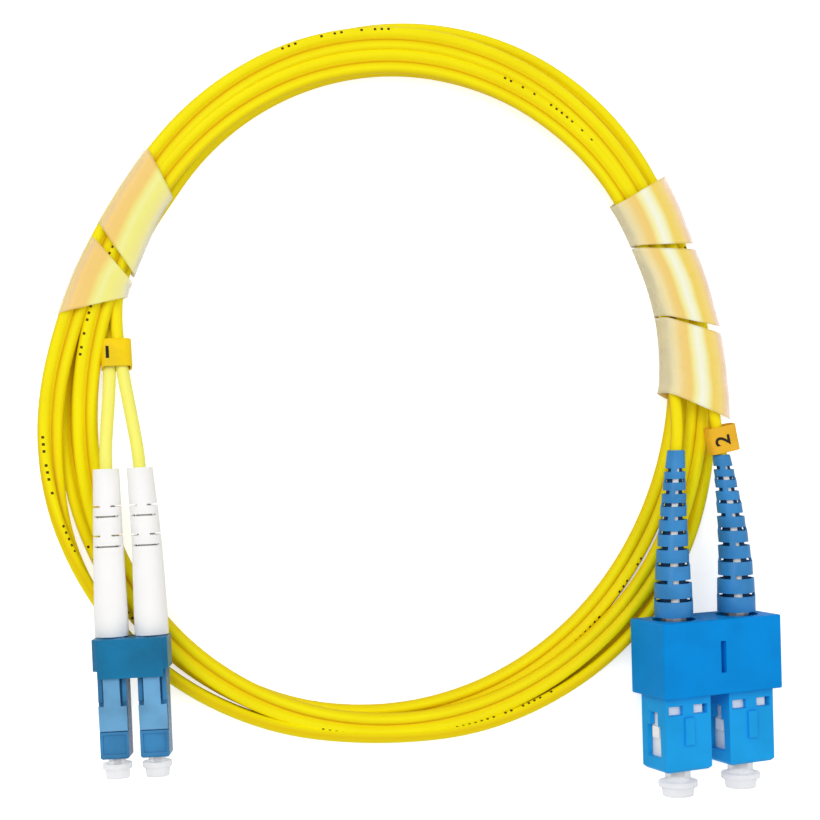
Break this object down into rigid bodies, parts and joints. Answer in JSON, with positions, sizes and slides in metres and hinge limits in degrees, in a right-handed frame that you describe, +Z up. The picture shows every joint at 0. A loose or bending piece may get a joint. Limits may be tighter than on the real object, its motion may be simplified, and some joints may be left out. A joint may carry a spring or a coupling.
{
  "type": "fibre optic patch cord",
  "caption": "Coiled duplex fibre optic patch cord with a small latch-type duplex plug pair at one end and a larger push-pull duplex plug pair at the other, tied with film.",
  "frame": {"origin": "middle of the underside of the box round both connectors, on the table", "axes": "+X across the coil from the small connector to the large one, +Y from the noses towards the far side of the coil, +Z up from the table"},
  "size_m": [0.1228, 0.1291, 0.0154],
  "materials": {
    "yellow_jacket": "satin, slightly soft",
    "film": "clear glossy film",
    "tag_yellow": "satin",
    "tag_orange": "satin",
    "white_boot": "matt",
    "teal_clip": "satin",
    "lc_blue": "slightly translucent, glossy",
    "sc_blue": "satin",
    "blue_boot": "satin",
    "white_plastic": "satin",
    "ceramic": "polished zirconia",
    "nickel": "nickel plated",
    "crimp_metal": "satin",
    "spring_steel": "bright wire",
    "buffer_white": "satin",
    "cap_clear": "frosted, translucent"
  },
  "bodies": {
    "cord_and_plugs": {"coil_wrap_left": "film", "coil_wrap_right": "film", "lc_boot_1": "white_boot", "lc_boot_2": "white_boot", "lc_buffered_fibre_1": "buffer_white", "lc_buffered_fibre_2": "buffer_white", "lc_crimp_sleeve_1": "crimp_metal", "lc_crimp_sleeve_2": "crimp_metal", "lc_duplex_clip": "teal_clip", "lc_housing_1": "lc_blue", "lc_housing_2": "lc_blue", "lc_rear_body_1": "nickel", "lc_rear_body_2": "nickel", "lc_split_end_1": "yellow_jacket", "lc_split_end_2": "yellow_jacket", "lc_spring_1": "spring_steel", "lc_spring_2": "spring_steel", "number_tag_lc": "tag_yellow", "number_tag_sc": "tag_orange", "sc_boot_1": "blue_boot", "sc_boot_2": "blue_boot", "sc_buffered_fibre_1": "buffer_white", "sc_buffered_fibre_2": "buffer_white", "sc_crimp_sleeve_1": "crimp_metal", "sc_crimp_sleeve_2": "crimp_metal", "sc_inner_body_1": "white_plastic", "sc_inner_body_2": "white_plastic", "sc_rear_body_1": "nickel", "sc_rear_body_2": "nickel", "sc_split_end_1": "yellow_jacket", "sc_split_end_2": "yellow_jacket", "sc_spring_1": "spring_steel", "sc_spring_2": "spring_steel", "zip_cord": "yellow_jacket"},
    "sc_grip_pair": {"sc_grip_1": "sc_blue", "sc_grip_2": "sc_blue", "sc_duplex_clip": "sc_blue"},
    "lc_ferrule_unit_1": {"lc_ferrule_1": "ceramic", "lc_ferrule_flange_1": "nickel"},
    "lc_cap_1": {"lc_dust_cap_1": "cap_clear"},
    "sc_ferrule_unit_1": {"sc_ferrule_1": "ceramic", "sc_ferrule_flange_1": "nickel"},
    "sc_cap_1": {"sc_dust_cap_1": "cap_clear"},
    "lc_latch_arm_1": {"lc_latch_1": "lc_blue"},
    "lc_ferrule_unit_2": {"lc_ferrule_2": "ceramic", "lc_ferrule_flange_2": "nickel"},
    "lc_cap_2": {"lc_dust_cap_2": "cap_clear"},
    "sc_ferrule_unit_2": {"sc_ferrule_2": "ceramic", "sc_ferrule_flange_2": "nickel"},
    "sc_cap_2": {"sc_dust_cap_2": "cap_clear"},
    "lc_latch_arm_2": {"lc_latch_2": "lc_blue"}
  },
  "joints": [
    {"name": "sc_grip_slide", "type": "slide", "parent": "cord_and_plugs", "child": "sc_grip_pair", "axis": [-0.0262, 0.9997, 0], "range_m": [0, 0.002]},
    {"name": "lc_ferrule_unit_1_slide", "type": "slide", "parent": "cord_and_plugs", "child": "lc_ferrule_unit_1", "axis": [-0.0419, 0.9985, -0.0349], "range_m": [0, 0.0007], "stiffness_N_per_m": 500, "springref_m": -0.004, "deforming": ["lc_spring_1"]},
    {"name": "lc_cap_1_slide", "type": "slide", "parent": "cord_and_plugs", "child": "lc_cap_1", "axis": [0.0419, -0.9985, 0.0349], "range_m": [0, 0.008]},
    {"name": "sc_ferrule_unit_1_slide", "type": "slide", "parent": "cord_and_plugs", "child": "sc_ferrule_unit_1", "axis": [-0.0262, 0.9997, 0], "range_m": [0, 0.001], "stiffness_N_per_m": 500, "springref_m": -0.004, "deforming": ["sc_spring_1"]},
    {"name": "sc_cap_1_slide", "type": "slide", "parent": "cord_and_plugs", "child": "sc_cap_1", "axis": [0.0262, -0.9997, 0], "range_m": [0, 0.01]},
    {"name": "lc_latch_press_1", "type": "hinge", "parent": "cord_and_plugs", "child": "lc_latch_arm_1", "pos_m": [-0.05436, -0.01451, 0.01169], "axis": [-0.9805, -0.0478, -0.1907], "range_deg": [0, 3], "stiffness_Nm_per_rad": 0.2},
    {"name": "lc_ferrule_unit_2_slide", "type": "slide", "parent": "cord_and_plugs", "child": "lc_ferrule_unit_2", "axis": [-0.0419, 0.9985, -0.0349], "range_m": [0, 0.0007], "stiffness_N_per_m": 500, "springref_m": -0.004, "deforming": ["lc_spring_2"]},
    {"name": "lc_cap_2_slide", "type": "slide", "parent": "cord_and_plugs", "child": "lc_cap_2", "axis": [0.0419, -0.9985, 0.0349], "range_m": [0, 0.008]},
    {"name": "sc_ferrule_unit_2_slide", "type": "slide", "parent": "cord_and_plugs", "child": "sc_ferrule_unit_2", "axis": [-0.0262, 0.9997, 0], "range_m": [0, 0.001], "stiffness_N_per_m": 500, "springref_m": -0.004, "deforming": ["sc_spring_2"]},
    {"name": "sc_cap_2_slide", "type": "slide", "parent": "cord_and_plugs", "child": "sc_cap_2", "axis": [0.0262, -0.9997, 0], "range_m": [0, 0.01]},
    {"name": "lc_latch_press_2", "type": "hinge", "parent": "cord_and_plugs", "child": "lc_latch_arm_2", "pos_m": [-0.04824, -0.01421, 0.01288], "axis": [-0.9805, -0.0478, -0.1907], "range_deg": [0, 3], "stiffness_Nm_per_rad": 0.2}
  ]
}
